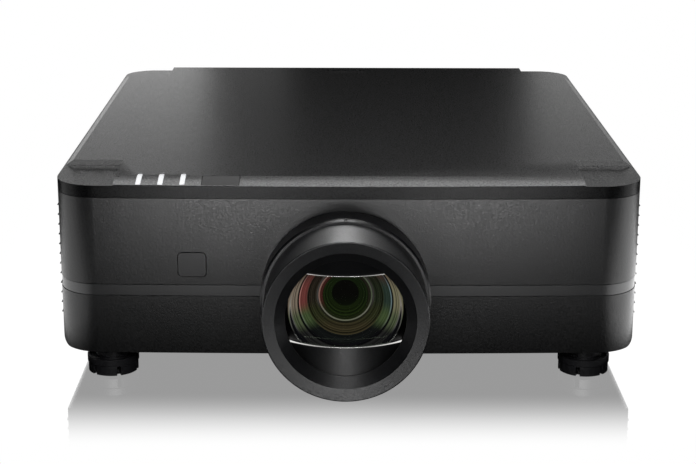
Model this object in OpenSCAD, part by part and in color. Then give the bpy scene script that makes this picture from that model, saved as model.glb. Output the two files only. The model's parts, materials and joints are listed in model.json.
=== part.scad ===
// Large-venue laser projector: moulded case on four screw feet, with a shifting lens in a deep hood.
// Millimetres. X is across the front, Y runs from the front to the rear, Z is up from the floor.
// The origin is on the floor, at the middle of the overall box.

/* [Casing] */
// Width over the side walls, without the louvres
body_w = 481; // [400:1:600]
// Depth from the middle of the front face to the rear face
body_d = 525; // [435:1:640]
// Height of the case from its underside to the rim
case_h = 142; // [118:1:172]
// Gap between the floor and the underside
foot_h = 28; // [25:0.5:36]
// Thickness of the moulded walls
wall = 3; // [2.4:0.1:3.6]
// How far the middle of the front face stands ahead of its corners
bow = 4.5; // [0:0.5:8]
// Plan radius of the front corners
front_r = 34; // [24:1:40]
// Plan radius of the rear corners
rear_r = 30; // [24:1:40]
// Radius along the lower side edges
under_r = 9; // [4:0.5:12]
// Height of the lower case's front wall, up to the accent band
band_low = 49.3; // [38:0.1:60]
// Height of the accent band
band_h = 9.5; // [6:0.5:14]
// How far the accent band's face is set back
band_set = 0.5; // [0:0.1:1]
// Height of the top cover's rim
rim_h = 10; // [8:0.5:14]
// Height of the side walls that belong to the lower case
sill_h = 14; // [12:0.5:18]
// Distance from the front face to the front edge of the side panels
side_start = 42; // [38:1:60]

/* [Top cover] */
// Height of the raised panel above the rim
panel_rise = 4; // [2:0.5:6]
// Width of the flat lip around the raised panel
lip_w = 1.2; // [0.8:0.1:3]
// Width of the bevel along the sides of the raised panel
side_bevel = 6; // [3:0.5:10]
// Depth of the sloping strip along the front of the raised panel
strip_d = 19; // [14:0.5:26]
// Width of the corner recesses
recess_w = 49.5; // [36:0.5:60]
// Depth of the front corner recesses
recess_front = 75; // [50:1:90]
// Depth of the rear corner recesses
recess_rear = 55; // [40:1:80]
// How far the front wall of a recess leans back over its height
recess_lean = 2; // [0:0.5:4]
// Width of the finger scoop at the rear of the top cover
scoop_w = 40; // [30:1:60]
// Length of the finger scoop
scoop_l = 27; // [20:1:40]
// Depth of the finger scoop
scoop_deep = 1.5; // [1:0.1:2]

/* [Windows and lights] */
// Distance of the first status light from the left side
led_side = 69.6; // [60:0.1:90]
// Spacing of the status lights
led_pitch = 17.8; // [12:0.1:24]
// Number of status lights
led_count = 3; // [1:1:4]
// Width of a status light
led_w = 3.8; // [3:0.1:6]
// Length of a status light
led_l = 21; // [14:0.5:24]
// Width of the remote control window
ir_w = 30.5; // [20:0.5:40]
// Distance of the remote control window from the left side
ir_side = 121; // [118:0.1:140]
// Width of the sensor window in the front bezel
sensor_w = 22.6; // [16:0.1:30]
// Height of the sensor window
sensor_h = 20; // [14:0.2:28]
// Corner radius of the sensor window
sensor_r = 3.5; // [1:0.5:6]
// Distance of the sensor window's middle from the left side
sensor_side = 112.4; // [90:0.2:130]
// Height of the sensor window's lower edge above the accent band
sensor_rise = 7.4; // [4:0.2:14]

/* [Side louvres] */
// Number of louvre blades in a side panel
louvre_count = 13; // [8:1:14]
// Spacing of the louvre blades
louvre_pitch = 8.5; // [7:0.1:8.6]
// How far the blades stand out of the side wall
louvre_out = 2.8; // [0.8:0.1:3]
// Height of the air slot above each blade
slot_h = 3.4; // [2:0.1:4]
// Number of bays in a side panel
bay_count = 5; // [3:1:7]
// Width of the posts between bays
mullion_w = 7; // [4:0.5:12]

/* [Lens] */
// Offset of the lens axis from the middle
lens_x = -3; // [-20:0.5:20]
// Height of the lens axis above the underside
lens_rise = 53; // [51:0.5:60]
// Radius of the base ring
base_r = 69; // [62:0.5:74]
// Length of the base ring
base_l = 26; // [20:0.5:34]
// Gap between the front face and the base ring
base_gap = 1; // [0.5:0.1:2]
// Outer radius of the hood
hood_r = 65.4; // [61:0.1:66]
// Length of the hood
hood_l = 50; // [46:0.5:60]
// Inner radius of the hood behind its lip
hood_bore = 60; // [58:0.1:60.5]
// Outer radius of the lip's cone
lip_r = 55.5; // [50:0.1:57]
// Inner radius of the lip's cone
mouth_r = 47.4; // [46:0.1:49]
// Depth of the lip's cone
lip_deep = 10; // [6:0.5:11]
// How far the hood's front face is dished towards the cone
lip_dish = 2.4; // [0:0.1:3]
// Radius of the front glass's outer surface
glass_curve = 74.5; // [70:0.5:80]
// Radius of the front glass's inner surface
glass_inner = 67; // [60:0.5:67]
// Radius of the front glass's edge
glass_r = 46; // [44:0.5:48]
// Depth of the front glass behind the hood's front
glass_deep = 20.5; // [18:0.5:24]
// Half height of the mask's opening
mask_half = 30; // [24:0.5:34]
// Radius of the barrel where it passes the front wall
barrel_r = 41; // [38:0.5:42]
// Radius of the rear barrel
tube_r = 30; // [28:0.5:31]
// Wall of the barrel
tube_wall = 3; // [2:0.5:4]
// Distance of the barrel's rear end from the front face
tube_end = 105; // [100:1:108]

/* [Lens shift and focus] */
// Sideways travel of the lens, each way
shift_x = 3; // [0:0.5:3]
// Up and down travel of the lens, each way
shift_z = 5; // [0:0.5:5]
// Radius of the upright guide rods
v_rod_r = 3; // [2:0.5:4]
// Radius of the level guide rods
h_rod_r = 2.5; // [1.5:0.5:2.5]
// Radius of the lead screws
screw_r = 2; // [1.5:0.5:2.5]
// Tooth module of the focus gears
gear_mod = 1; // [0.8:0.1:1]
// Teeth on the focus ring at a module of 1; a finer module has more in proportion
ring_teeth = 72; // [70:1:74]
// Teeth on the focus pinion at a module of 1
pinion_teeth = 14; // [12:1:18]
// Face width of the focus ring
gear_l = 10; // [6:0.5:12]

/* [Feet] */
// Distance of the front feet's middle from the front face
foot_front = 38; // [32:1:50]
// Distance of the rear feet's middle from the rear face
foot_rear = 60; // [50:1:90]
// Distance of the feet's middle from the side wall
foot_side = 40.5; // [36:0.5:60]
// Radius of the foot knob
knob_r = 21.7; // [18:0.1:23]
// Number of lobes under the foot knob
lobe_count = 6; // [4:1:8]
// Gap above the knob's collar
knob_gap = 4.5; // [4.2:0.1:8]
// Radius of the foot's stud
stud_r = 4; // [3:0.5:5]
// Radius of the rubber pad
pad_r = 13; // [10:0.5:14]
// How far the foot's boss hangs below the underside
boss_drop = 2.5; // [1:0.5:3]

/* [Ceiling mount] */
// Sideways spacing of the mounting holes
mount_dx = 280; // [200:1:300]
// Front to rear spacing of the mounting holes
mount_dy = 250; // [200:1:260]
// Radius of the tapped mounting holes
mount_r = 2.5; // [2:0.1:3]

/* [Inside] */
// Side of a cooling fan's square frame
fan_size = 92; // [80:1:92]
// Thickness of a cooling fan
fan_t = 25; // [20:1:28]
// Width of the power supply
psu_w = 85; // [60:1:90]
// Length of the power supply
psu_l = 200; // [140:1:200]
// Height of the power supply
psu_h = 66; // [40:1:80]
// Width of the main board
board_w = 160; // [150:1:165]
// Depth of the main board
board_l = 115; // [90:1:120]
// Number of fins on the laser heatsink
fin_count = 16; // [8:1:20]

/* [Rear] */
// How far the rear panel's face is set back
rear_set = 2; // [1.5:0.5:4]
// Radius of the keypad's keys
key_r = 4.5; // [3.5:0.1:5]
// Spacing of the arrow keys from the middle key
key_pitch = 13; // [12:0.5:16]
// How far the keys stand out
key_out = 1.2; // [0.8:0.1:1.4]

/* [Fits] */
// Gap around inset windows, ports and keys
fit_gap = 0.3; // [0.2:0.05:0.5]
// Radial clearance of sliding and turning fits
run_gap = 0.05; // [0.03:0.01:0.1]
// Clearance between parts that pass each other
pass_gap = 1; // [0.6:0.1:1.5]

/* [Hidden] */
$fn = 96;
eps = 0.01;
far = 900;

lens_out = base_gap + base_l + hood_l;
front_y = lens_out - (body_d + lens_out) / 2;
rear_y = front_y + body_d;
half_w = body_w / 2;

z0 = foot_h;
z_floor = z0 + wall;
z_sill = z0 + sill_h;
z_band = z0 + band_low;
z_bezel = z_band + band_h;
z_rim = z0 + case_h;
z_seam = z_rim - rim_h;
z_top = z_rim + panel_rise;
side_y = front_y + side_start;
rear_half = half_w - rear_r - 2;
rear_face = rear_y - rear_set;

corner_steps = 12;
bow_steps = 16;

lens_z = z0 + lens_rise;
hood_front = lens_out;
hood_back = base_gap + base_l;
glass_centre = hood_front - glass_deep - glass_curve;
wall_hole_r = barrel_r + sqrt(shift_x * shift_x + shift_z * shift_z) + pass_gap;
barrel_step = -12;
seat_r = hood_bore - 5;
mask_depth = 48;
mask_skin = 2.7;

chassis_z = z_floor + 3;
chassis_t = 1.5;
deck = chassis_z + chassis_t;
chassis_side = 12;
chassis_front = 21;

frame_back = -52;
frame_t = 4;
v_rod_x = 62;
v_rod_back = -64;
v_lug = 12;
v_lug_h = 6;
v_rod_top = lens_rise + 51 + z0;
carriage_low = 38;
carriage_high = 42;
carriage_half = 49;
carriage_t = 4;
carriage_back = -62;
v_screw_x = 78;
h_rod_z = 34.5;
h_rod_back = -76;
h_lug = 5;
h_lug_x = 44;
h_plate_back = -74;
h_plate_half = 36;
h_screw_z = 47;
nut_x = 12;
nut_w = 10;
h_motor_r = 6.5;
v_motor_r = 9;
v_motor_h = 16;

ring_back = -28;
ring_count = round(ring_teeth / gear_mod);
pinion_count = round(pinion_teeth / gear_mod);
ring_pitch_r = gear_mod * ring_count / 2;
pinion_pitch_r = gear_mod * pinion_count / 2;
gear_backlash = 0.12;
pinion_x = ring_pitch_r + pinion_pitch_r + gear_backlash;
focus_motor_r = 8;
focus_motor_l = barrel_step - ring_back - 2;

foot_xs = [-half_w + foot_side, half_w - foot_side];
foot_ys = [front_y + foot_front, rear_y - foot_rear];
skirt_z0 = 1.5;
skirt_z1 = 9;
disc_z0 = 10;
disc_z1 = 15.5;
collar_z1 = foot_h - boss_drop - knob_gap;
stud_top = z0 + 30;
boss_r = 13;
boss_top = deck + 1;
pad_h = 4;
pivot_r = 5;
pivot_h = 5;

fan_x = half_w - wall - 3 - fan_t;
fan_z = deck + 1.5 + fan_size / 2;
fan_bore = fan_size / 2 - 2;
rotor_r = fan_bore - pass_gap;
hub_r = 18;
blade_count = 7;
fan_ys = [front_y + 96, front_y + 262, rear_y - 74];

psu_x = -half_w + wall + 6;
psu_y = front_y + 150;
engine_x = [-56, 60];
engine_y = front_y + 112;
engine_l = 92;
engine_h = 88;
laser_w = 90;
laser_x = fan_x - 10 - laser_w;
laser_y = front_y + 115;
laser_l = 100;
laser_h = 64;
sink_y = laser_y + laser_l + 10;
sink_l = 165;
sink_h = 84;
wheel_r = 26;
wheel_x = engine_x[0] + 24;
wheel_y = engine_y + engine_l + 10;
wheel_z = deck + 50;
board_x = -100;
board_y = rear_face - wall - board_l - 1;
board_z = deck + 5;
board_t = 1.6;
port_z = board_z + board_t;

inlet_x = -165;
inlet_z = z_sill + 26;
inlet_w = 27;
inlet_h = 19.5;
inlet_l = 22;
rocker_x = -125;
rocker_w = 14;
rocker_h = 20;
keypad_x = 140;
keypad_z = z_seam - 34;
power_x = keypad_x - 34;
key_l = 7;

// ---------- Shared shapes ----------

function bow_at(x) = bow * pow(x / half_w, 2);

function arc(cx, cy, r, from, to, n) =
    [for (i = [0:n]) [cx + r * cos(from + (to - from) * i / n), cy + r * sin(from + (to - from) * i / n)]];

// Plan outline of the case, moved inwards by inset, with the bowed front face
function outline(inset) =
    let (hw = half_w - inset,
         y0 = front_y + inset,
         y1 = rear_y - inset,
         rf = front_r - inset,
         rr = rear_r - inset,
         span = hw - rf,
         plain = concat(
             [for (i = [1:bow_steps - 1]) [-span + 2 * span * i / bow_steps, y0]],
             arc(span, y0 + rf, rf, -90, 0, corner_steps),
             arc(hw - rr, y1 - rr, rr, 0, 90, corner_steps),
             arc(rr - hw, y1 - rr, rr, 90, 180, corner_steps),
             arc(-span, y0 + rf, rf, 180, 270, corner_steps)))
    [for (p = plain) [p[0], p[1] + (p[1] <= y0 + rf + eps ? bow_at(p[0]) : 0)]];

module slab(inset, za, zb) {
    translate([0, 0, za]) linear_extrude(zb - za) polygon(outline(inset));
}

module ring_wall(inset, thick, za, zb) {
    difference() {
        slab(inset, za, zb);
        slab(inset + thick, za - 1, zb + 1);
    }
}

// A flat shape drawn in X and Z, made solid along Y
module along_y(ya, yb) {
    translate([0, yb, 0]) rotate([90, 0, 0]) linear_extrude(yb - ya) children();
}

// A flat shape drawn in Y and Z, made solid along X
module along_x(xa, xb) {
    translate([xa, 0, 0]) rotate([90, 0, 90]) linear_extrude(xb - xa) children();
}

// The range reaching `half` either side of `middle`
function about(middle, half) = [middle - half, middle + half];

module block(x, y, z) {
    translate([x[0], y[0], z[0]]) cube([x[1] - x[0], y[1] - y[0], z[1] - z[0]]);
}

module rounded_square(w, h, r) {
    square([w - 2 * r, h], center = true);
    square([w, h - 2 * r], center = true);
    for (sx = [-1, 1])
        for (sy = [-1, 1])
            translate([sx * (w / 2 - r), sy * (h / 2 - r)]) circle(r);
}

// Lens frame: its local Z axis runs out of the front face along the lens axis
module at_lens() {
    translate([lens_x, front_y, lens_z]) rotate([90, 0, 0]) children();
}

module tube(r_out, r_in, za, zb) {
    translate([0, 0, za]) difference() {
        cylinder(r = r_out, h = zb - za);
        translate([0, 0, -1]) cylinder(r = r_in, h = zb - za + 2);
    }
}

module front_zone() {
    block([-far, far], [-far, side_y], [0, far]);
}

module lens_hole() {
    at_lens() translate([0, 0, -30]) cylinder(r = wall_hole_r, h = 60);
}

module at_feet() {
    for (x = foot_xs)
        for (y = foot_ys)
            translate([x, y, 0]) children();
}

module at_mounts() {
    for (sx = [-1, 1])
        for (sy = [-1, 1])
            translate([sx * mount_dx / 2, (front_y + rear_y) / 2 + sy * mount_dy / 2, 0]) children();
}

module at_case_screws() {
    for (sx = [-1, 1])
        for (y = [front_y + 90, (front_y + rear_y) / 2, rear_y - 110])
            translate([sx * (half_w - 22), y, 0]) children();
}

// ---------- Casing ----------

module under_profile() {
    translate([-half_w, under_r]) square([body_w, case_h]);
    translate([under_r - half_w, 0]) square([body_w - 2 * under_r, under_r + 1]);
    for (s = [-1, 1])
        translate([s * (half_w - under_r), under_r]) circle(under_r);
}

module lower_case() {
    vent_slots = 10;
    color("#26272a") difference() {
        union() {
            intersection() {
                difference() {
                    slab(0, z0, z_band);
                    difference() {
                        slab(wall, z_floor, z_band + 1);
                        at_feet() cylinder(r = boss_r, h = boss_top);
                        at_mounts() cylinder(r = 8, h = chassis_z);
                        at_case_screws() cylinder(r = 5, h = deck - 0.5);
                    }
                }
                translate([0, 0, z0]) along_y(front_y - 1, rear_y + 1) under_profile();
            }
            at_feet() translate([0, 0, z0 - boss_drop]) cylinder(r = knob_r - 1, h = boss_drop + 1);
        }
        block([-far, far], [side_y, far], [z_sill, far]);
        lens_hole();
        at_feet() cylinder(r = stud_r + run_gap, h = far);
        at_mounts() cylinder(r = mount_r, h = far);
        at_case_screws() cylinder(r = 1.6, h = far);
        at_case_screws() cylinder(r = 3.3, h = z0 + 1.8);
        for (side = [-1, 1])
            for (i = [0:vent_slots - 1])
                translate([side * 95 - 30, (front_y + rear_y) / 2 - 60 + i * 12, z0 - 1])
                    cube([60, 4, wall + 2]);
    }
}

module accent_band() {
    color("#3a3b3f") difference() {
        intersection() {
            ring_wall(band_set, wall, z_band, z_bezel);
            front_zone();
        }
        lens_hole();
    }
}

module sensor_prism(grow) {
    x = -half_w + sensor_side;
    z = z_bezel + sensor_rise + sensor_h / 2;
    along_y(front_y - 5, front_y + 30)
        translate([x, z]) rounded_square(sensor_w + 2 * grow, sensor_h + 2 * grow, sensor_r + grow);
}

module front_bezel() {
    color("#2c2d30") difference() {
        intersection() {
            ring_wall(0, wall, z_bezel, z_seam);
            front_zone();
        }
        lens_hole();
        sensor_prism(fit_gap);
    }
}

module sensor_window() {
    color("#2a2b30") intersection() {
        ring_wall(0, wall - 1, z_bezel, z_seam);
        sensor_prism(0);
        front_zone();
    }
}

// Raised panel: bevelled at its sides, sloping up over the front strip, with the four corner recesses
module raised_panel(inset, za, zb) {
    half_low = half_w - lip_w - inset;
    y_low = front_y + lip_w + inset;
    y_high = rear_y - lip_w - inset;
    intersection() {
        slab(lip_w + inset, za, zb);
        along_y(front_y, rear_y)
            polygon([[-half_low, za], [half_low, za], [half_low, z_rim - inset],
                     [half_low - side_bevel, zb], [side_bevel - half_low, zb], [-half_low, z_rim - inset]]);
        along_x(-half_w, half_w)
            polygon([[y_low, za], [y_high, za], [y_high, z_rim - inset], [y_high - 2, zb],
                     [y_low + strip_d, zb], [y_low, z_rim - inset]]);
    }
}

module recess_corners(grow) {
    for (s = [-1, 1]) {
        x_in = s * (half_w - recess_w - grow);
        x_out = s * far;
        x = [min(x_in, x_out), max(x_in, x_out)];
        y_in = front_y + recess_front + grow;
        along_x(x[0], x[1])
            polygon([[front_y - 50, z_rim - grow], [y_in, z_rim - grow], [y_in + recess_lean, z_top],
                     [y_in + recess_lean, far], [front_y - 50, far]]);
        block(x, [rear_y - recess_rear - grow, rear_y + 50], [z_rim - grow, far]);
    }
}

module top_solid() {
    slab(0, z_seam, z_rim);
    difference() {
        raised_panel(0, z_rim - 1, z_top);
        recess_corners(0);
    }
}

module top_hollow() {
    slab(wall, z_seam - 1, z_rim - wall);
    difference() {
        raised_panel(wall, z_seam, z_top - wall);
        recess_corners(wall);
    }
}

module led_prisms(grow) {
    for (i = [0:led_count - 1]) {
        x = -half_w + led_side + i * led_pitch;
        block([x - led_w / 2 - grow, x + led_w / 2 + grow],
              [front_y + lip_w + 3.5 - grow, front_y + lip_w + 3.5 + led_l + grow], [z_seam, far]);
    }
}

module remote_prism(grow) {
    x = -half_w + ir_side;
    block([x - grow, x + ir_w + grow],
          [front_y + lip_w + 2.2 - grow, front_y + lip_w + strip_d + grow], [z_seam, far]);
}

module scoop() {
    middle = -1;
    back = rear_y - 16;
    block([middle - scoop_w / 2, middle + scoop_w / 2], [back - scoop_l, back], [z_top - scoop_deep, far]);
}

module top_cover() {
    color("#2a2b2e") difference() {
        top_solid();
        top_hollow();
        led_prisms(fit_gap);
        remote_prism(fit_gap);
        scoop();
    }
}

module status_light_pipes() {
    color("white") intersection() {
        difference() {
            top_solid();
            slab(wall, z_seam - 1, z_rim - wall - 2);
        }
        led_prisms(0);
    }
}

module remote_window() {
    color("#0a0a0c") intersection() {
        difference() {
            top_solid();
            slab(wall, z_seam - 1, z_rim - wall);
        }
        remote_prism(0);
    }
}

// One blade: a slanted fin whose lower edge stands out of the side wall
module louvre_blade() {
    polygon([[-wall, 4.4], [-0.4, 4.4], [louvre_out, 0.7], [louvre_out, 0], [0, 0], [-wall, 2.4]]);
}

module side_panel() {
    grille_l = rear_y - rear_r - side_y;
    bay_l = (grille_l - mullion_w * (bay_count + 1)) / bay_count;
    z_first = z_sill + 7;
    count = min(louvre_count, floor((z_seam - 6 - z_first) / louvre_pitch));
    difference() {
        intersection() {
            ring_wall(0, wall, z_sill, z_seam);
            block([rear_half, far], [side_y, far], [0, far]);
        }
        for (b = [0:bay_count - 1])
            for (i = [0:count - 1])
                translate([half_w - wall - 1, side_y + mullion_w + b * (bay_l + mullion_w),
                           z_first + i * louvre_pitch + 4.4])
                    cube([wall + 2, bay_l, slot_h]);
    }
    for (i = [0:count - 1])
        translate([half_w, side_y + mullion_w / 2, z_first + i * louvre_pitch])
            rotate([90, 0, 180]) mirror([1, 0, 0])
                linear_extrude(grille_l - mullion_w) louvre_blade();
}

module side_panel_right() {
    color("#242528") side_panel();
}

module side_panel_left() {
    color("#242528") mirror([1, 0, 0]) side_panel();
}

module case_screws() {
    color("#8a8c90") at_case_screws() {
        translate([0, 0, z0 + 0.3]) difference() {
            cylinder(r = 3, h = 1.5);
            translate([0, 0, -1]) cylinder(r = 1.2, h = 2, $fn = 6);
        }
        translate([0, 0, z0 + 1.8]) cylinder(r = 1.6, h = 5);
    }
}

// ---------- Rear ----------

// Each port: name, middle in X, width, height, depth, cavity width, cavity height
ports = [
    ["hdmi", -84, 16, 7, 13, 14, 4.6],
    ["hdmi", -60, 16, 7, 13, 14, 4.6],
    ["lan", -36, 16, 14, 18, 12, 8],
    ["usb", -14, 14, 7.4, 15, 12.2, 4.8],
    ["serial", 13, 31, 12.5, 11, 17, 8.4]
];
port_rim = 1.5;
sill_gap = 0.1;
port_top = port_z + 15;
jack_xs = [36, 48];
jack_r = 4;
jack_bore = 1.75;

// Ends of a port's flange, which meets its neighbours' halfway between the shells
function port_left(i) = i == 0
    ? ports[0][1] - ports[0][2] / 2 - port_rim
    : (ports[i - 1][1] + ports[i - 1][2] / 2 + ports[i][1] - ports[i][2] / 2 + fit_gap) / 2;
function port_right(i) = i == len(ports) - 1
    ? ports[i][1] + ports[i][2] / 2 + port_rim
    : port_left(i + 1) - fit_gap;

module key_hole(x, z, r) {
    translate([x, rear_y + 1, z]) rotate([90, 0, 0]) cylinder(r = r + fit_gap, h = 20);
}

module rear_panel() {
    slot_rows = 9;
    color("#232427") difference() {
        block([-rear_half, rear_half], [rear_face - wall, rear_face], [z_sill, z_seam]);
        block([port_left(0) - fit_gap, port_right(len(ports) - 1) + fit_gap], [rear_face - 9, rear_y],
              [0, port_top + fit_gap]);
        for (x = jack_xs)
            key_hole(x, port_z + jack_r, jack_r);
        block([inlet_x - inlet_w / 2 - fit_gap, inlet_x + inlet_w / 2 + fit_gap], [rear_face - 9, rear_y],
              [inlet_z - inlet_h / 2 - fit_gap, inlet_z + inlet_h / 2 + fit_gap]);
        block([rocker_x - rocker_w / 2 - fit_gap, rocker_x + rocker_w / 2 + fit_gap], [rear_face - 9, rear_y],
              [inlet_z - rocker_h / 2 - fit_gap, inlet_z + rocker_h / 2 + fit_gap]);
        for (k = [[-1, 0], [1, 0], [0, 0]])
            key_hole(keypad_x + k[0] * key_pitch, keypad_z, key_r);
        for (k = [-1, 1])
            key_hole(keypad_x, keypad_z + k * key_pitch, key_r);
        key_hole(power_x, keypad_z, key_r);
        key_hole(power_x, keypad_z - key_pitch - 4, key_r);
        for (i = [0:slot_rows - 1])
            block([-90, 50], [rear_face - 9, rear_y], [port_z + 24 + i * 7, port_z + 27.5 + i * 7]);
    }
}

module power_inlet() {
    pin_l = 10;
    y1 = rear_face;
    y0 = y1 - inlet_l;
    color("#111114") difference() {
        block([inlet_x - inlet_w / 2, inlet_x + inlet_w / 2], [y0, y1],
              [inlet_z - inlet_h / 2, inlet_z + inlet_h / 2]);
        block([inlet_x - 12, inlet_x + 12], [y1 - 16, y1 + 1], [inlet_z - 7.8, inlet_z + 7.8]);
    }
    color("#b8b8bc") for (p = [[-7, -2], [0, 2], [7, -2]])
        block([inlet_x + p[0] - 1, inlet_x + p[0] + 1], [y1 - 16.5, y1 - 16 + pin_l],
              [inlet_z + p[1] - 2, inlet_z + p[1] + 2]);
}

module mains_rocker() {
    pivot_y = rear_face - 6;
    color("#1a1a1d") intersection() {
        translate([rocker_x, pivot_y, inlet_z]) rotate([0, 90, 0])
            cylinder(r = 9, h = rocker_w - 0.4, center = true);
        block([rocker_x - rocker_w, rocker_x + rocker_w], [pivot_y - 4, rear_face + rear_set],
              [inlet_z - 8.6, inlet_z + 8.6]);
        translate([0, rear_face + 1.2, 0]) union() {
            translate([rocker_x, 0, inlet_z]) rotate([10, 0, 0])
                block([-rocker_w, rocker_w], [-20, 0], [-0.1, 20]);
            translate([rocker_x, 0, inlet_z]) rotate([-4, 0, 0])
                block([-rocker_w, rocker_w], [-20, 0], [-20, 0.1]);
        }
    }
}

module signal_ports() {
    flange_t = 1.2;
    color("#9a9ca0") for (i = [0:len(ports) - 1])
        let (p = ports[i]) difference() {
            union() {
                block([p[1] - p[2] / 2, p[1] + p[2] / 2], [rear_face - p[4], rear_face],
                      [port_z, port_z + p[3]]);
                block([port_left(i), port_right(i)], [rear_face - flange_t, rear_face],
                      [z_sill + sill_gap, port_top]);
            }
            block([p[1] - p[5] / 2, p[1] + p[5] / 2], [rear_face - p[4] + 2, rear_face + 1],
                  [port_z + (p[3] - p[6]) / 2, port_z + (p[3] + p[6]) / 2]);
        }
}

module audio_jacks() {
    color("#2f6f4f") for (x = jack_xs)
        translate([x, rear_face, port_z + jack_r]) rotate([90, 0, 0]) difference() {
            cylinder(r = jack_r, h = 12);
            translate([0, 0, -1]) cylinder(r = jack_bore, h = 11);
        }
}

// A key cap, its outer end key_out beyond the panel's face at local Y 0
module key_cap() {
    translate([0, key_out, 0]) rotate([90, 0, 0]) {
        cylinder(r1 = key_r - 0.5, r2 = key_r, h = 0.5);
        translate([0, 0, 0.5]) cylinder(r = key_r, h = key_l - 0.5);
        translate([0, 0, key_l]) cylinder(r = key_r + 1.2, h = 1);
    }
}

module round_key(x, z) {
    translate([x, rear_face, z]) key_cap();
}

module power_key() {
    color("#3a3b3e") round_key(power_x, keypad_z);
}

module menu_key() {
    color("#3a3b3e") round_key(power_x, keypad_z - key_pitch - 4);
}

module enter_key() {
    color("#3a3b3e") round_key(keypad_x, keypad_z);
}

// Two arrow caps on one rocking bar behind the panel, drawn side by side about the keypad's middle
module arrow_pair(bar_deep) {
    bar_t = 1.4;
    cap_back = key_out - key_l - 1;
    for (s = [-1, 1]) {
        translate([s * key_pitch, 0, 0]) key_cap();
        block([s * key_pitch - 2, s * key_pitch + 2], [-bar_deep, cap_back], [-2, 2]);
    }
    block([-key_pitch, key_pitch], [-bar_deep, bar_t - bar_deep], [-2, 2]);
}

module left_right_key() {
    color("#3a3b3e") translate([keypad_x, rear_face, keypad_z]) arrow_pair(9.6);
}

module up_down_key() {
    color("#3a3b3e") translate([keypad_x, rear_face, keypad_z]) rotate([0, 90, 0]) arrow_pair(12);
}

// ---------- Inside ----------

module chassis_plate() {
    back_gap = 4;
    screw_clear_r = 7;
    post_r = 5;
    post_side = 120;
    post_inset = 80;
    color("#9b9da1") {
        difference() {
            block([chassis_side - half_w, half_w - chassis_side],
                  [front_y + chassis_front, rear_face - wall - back_gap], [chassis_z, deck]);
            at_feet() cylinder(r = boss_r + pass_gap, h = far);
            at_case_screws() cylinder(r = screw_clear_r, h = far);
        }
        for (sx = [-1, 1])
            for (y = [front_y + post_inset, rear_y - post_inset])
                translate([sx * post_side, y, z_floor]) cylinder(r = post_r, h = chassis_z - z_floor);
    }
}

module power_supply() {
    skin = 1.5;
    base_t = 4;
    slot_count = 10;
    slot_pitch = 12;
    slot_w = 5;
    slot_side = 12;
    slot_start = 20;
    color("#b0b2b6") difference() {
        block([psu_x, psu_x + psu_w], [psu_y, psu_y + psu_l], [deck, deck + psu_h]);
        block([psu_x + skin, psu_x + psu_w - skin], [psu_y + skin, psu_y + psu_l - skin],
              [deck + base_t, deck + psu_h - skin]);
        for (y = [for (i = [0:slot_count - 1]) psu_y + slot_start + i * slot_pitch])
            block([psu_x + slot_side, psu_x + psu_w - slot_side], [y, y + slot_w],
                  [deck + psu_h - 2 * skin, far]);
    }
}

module main_board() {
    post_r = 3;
    post_in = 8;
    post_back = 28;
    color("#1f5a3a") {
        block([board_x, board_x + board_w], [board_y, board_y + board_l], [board_z, board_z + board_t]);
        for (sx = [post_in, board_w - post_in])
            for (sy = [post_in, board_l - post_back])
                translate([board_x + sx, board_y + sy, deck]) cylinder(r = post_r, h = board_z - deck);
        board_chip(20, 20, 35, 4);
        board_chip(90, 25, 25, 3);
    }
}

// A square chip whose corner lies `right` and `back` of the board's own corner
module board_chip(right, back, side, tall) {
    block([board_x + right, board_x + right + side], [board_y + back, board_y + back + side],
          [board_z + board_t, board_z + board_t + tall]);
}

module light_engine() {
    y = [engine_y, engine_y + engine_l];
    skin = 6;
    side_skin = 8;
    front_skin = 30;
    bore_r = 22;
    duct_l = 20;
    duct_z = [deck + 20, deck + 44];
    color("#6f7175") difference() {
        block(engine_x, y, [deck, deck + engine_h]);
        translate([lens_x, y[0] - 1, lens_z]) rotate([-90, 0, 0]) cylinder(r = bore_r, h = front_skin + 10);
        block([engine_x[0] + side_skin, engine_x[1] - side_skin], [y[0] + front_skin, y[1] - skin],
              [deck + skin, deck + engine_h - skin]);
    }
    color("#6f7175")
        block([engine_x[1], laser_x], [y[0] + front_skin, y[0] + front_skin + duct_l], duct_z);
}

module dmd_heatsink() {
    side = 50;
    plate_t = 4;
    fin_step = 6;
    fin_t = 2;
    fin_l = 22;
    x0 = engine_x[0] + 62;
    y0 = engine_y + engine_l;
    z = [deck + 20, deck + 20 + side];
    color("#a8aaad") {
        block([x0, x0 + side], [y0, y0 + plate_t], z);
        for (x = [x0:fin_step:x0 + side - fin_t])
            block([x, x + fin_t], [y0 + plate_t, y0 + plate_t + fin_l], z);
    }
}

module laser_module() {
    color("#77797e")
        block([laser_x, laser_x + laser_w], [laser_y, laser_y + laser_l], [deck, deck + laser_h]);
}

module laser_heatsink() {
    base_t = 8;
    fin_t = 2;
    fin_pitch = (laser_w - fin_t) / (fin_count - 1);
    color("#a8aaad") {
        block([laser_x, laser_x + laser_w], [sink_y, sink_y + sink_l], [deck, deck + base_t]);
        for (x = [for (i = [0:fin_count - 1]) laser_x + i * fin_pitch])
            block([x, x + fin_t], [sink_y, sink_y + sink_l], [deck + base_t, deck + sink_h]);
    }
}

module diffuser_wheel() {
    color("#d8d8dc") translate([wheel_x, wheel_y, wheel_z]) rotate([-90, 0, 0]) difference() {
        union() {
            cylinder(r = wheel_r, h = 1);
            cylinder(r = 9, h = 5);
        }
        translate([0, 0, -1]) cylinder(r = 2 + run_gap, h = 8);
    }
}

module wheel_motor() {
    color("#4a4b4f") translate([wheel_x, wheel_y, wheel_z]) rotate([-90, 0, 0]) {
        cylinder(r = 2, h = 8);
        translate([0, 0, 6]) cylinder(r = 11, h = 14);
    }
    color("#4a4b4f") block([wheel_x - 12, wheel_x + 12], [wheel_y + 20, wheel_y + 23], [deck, wheel_z + 12]);
}

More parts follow.
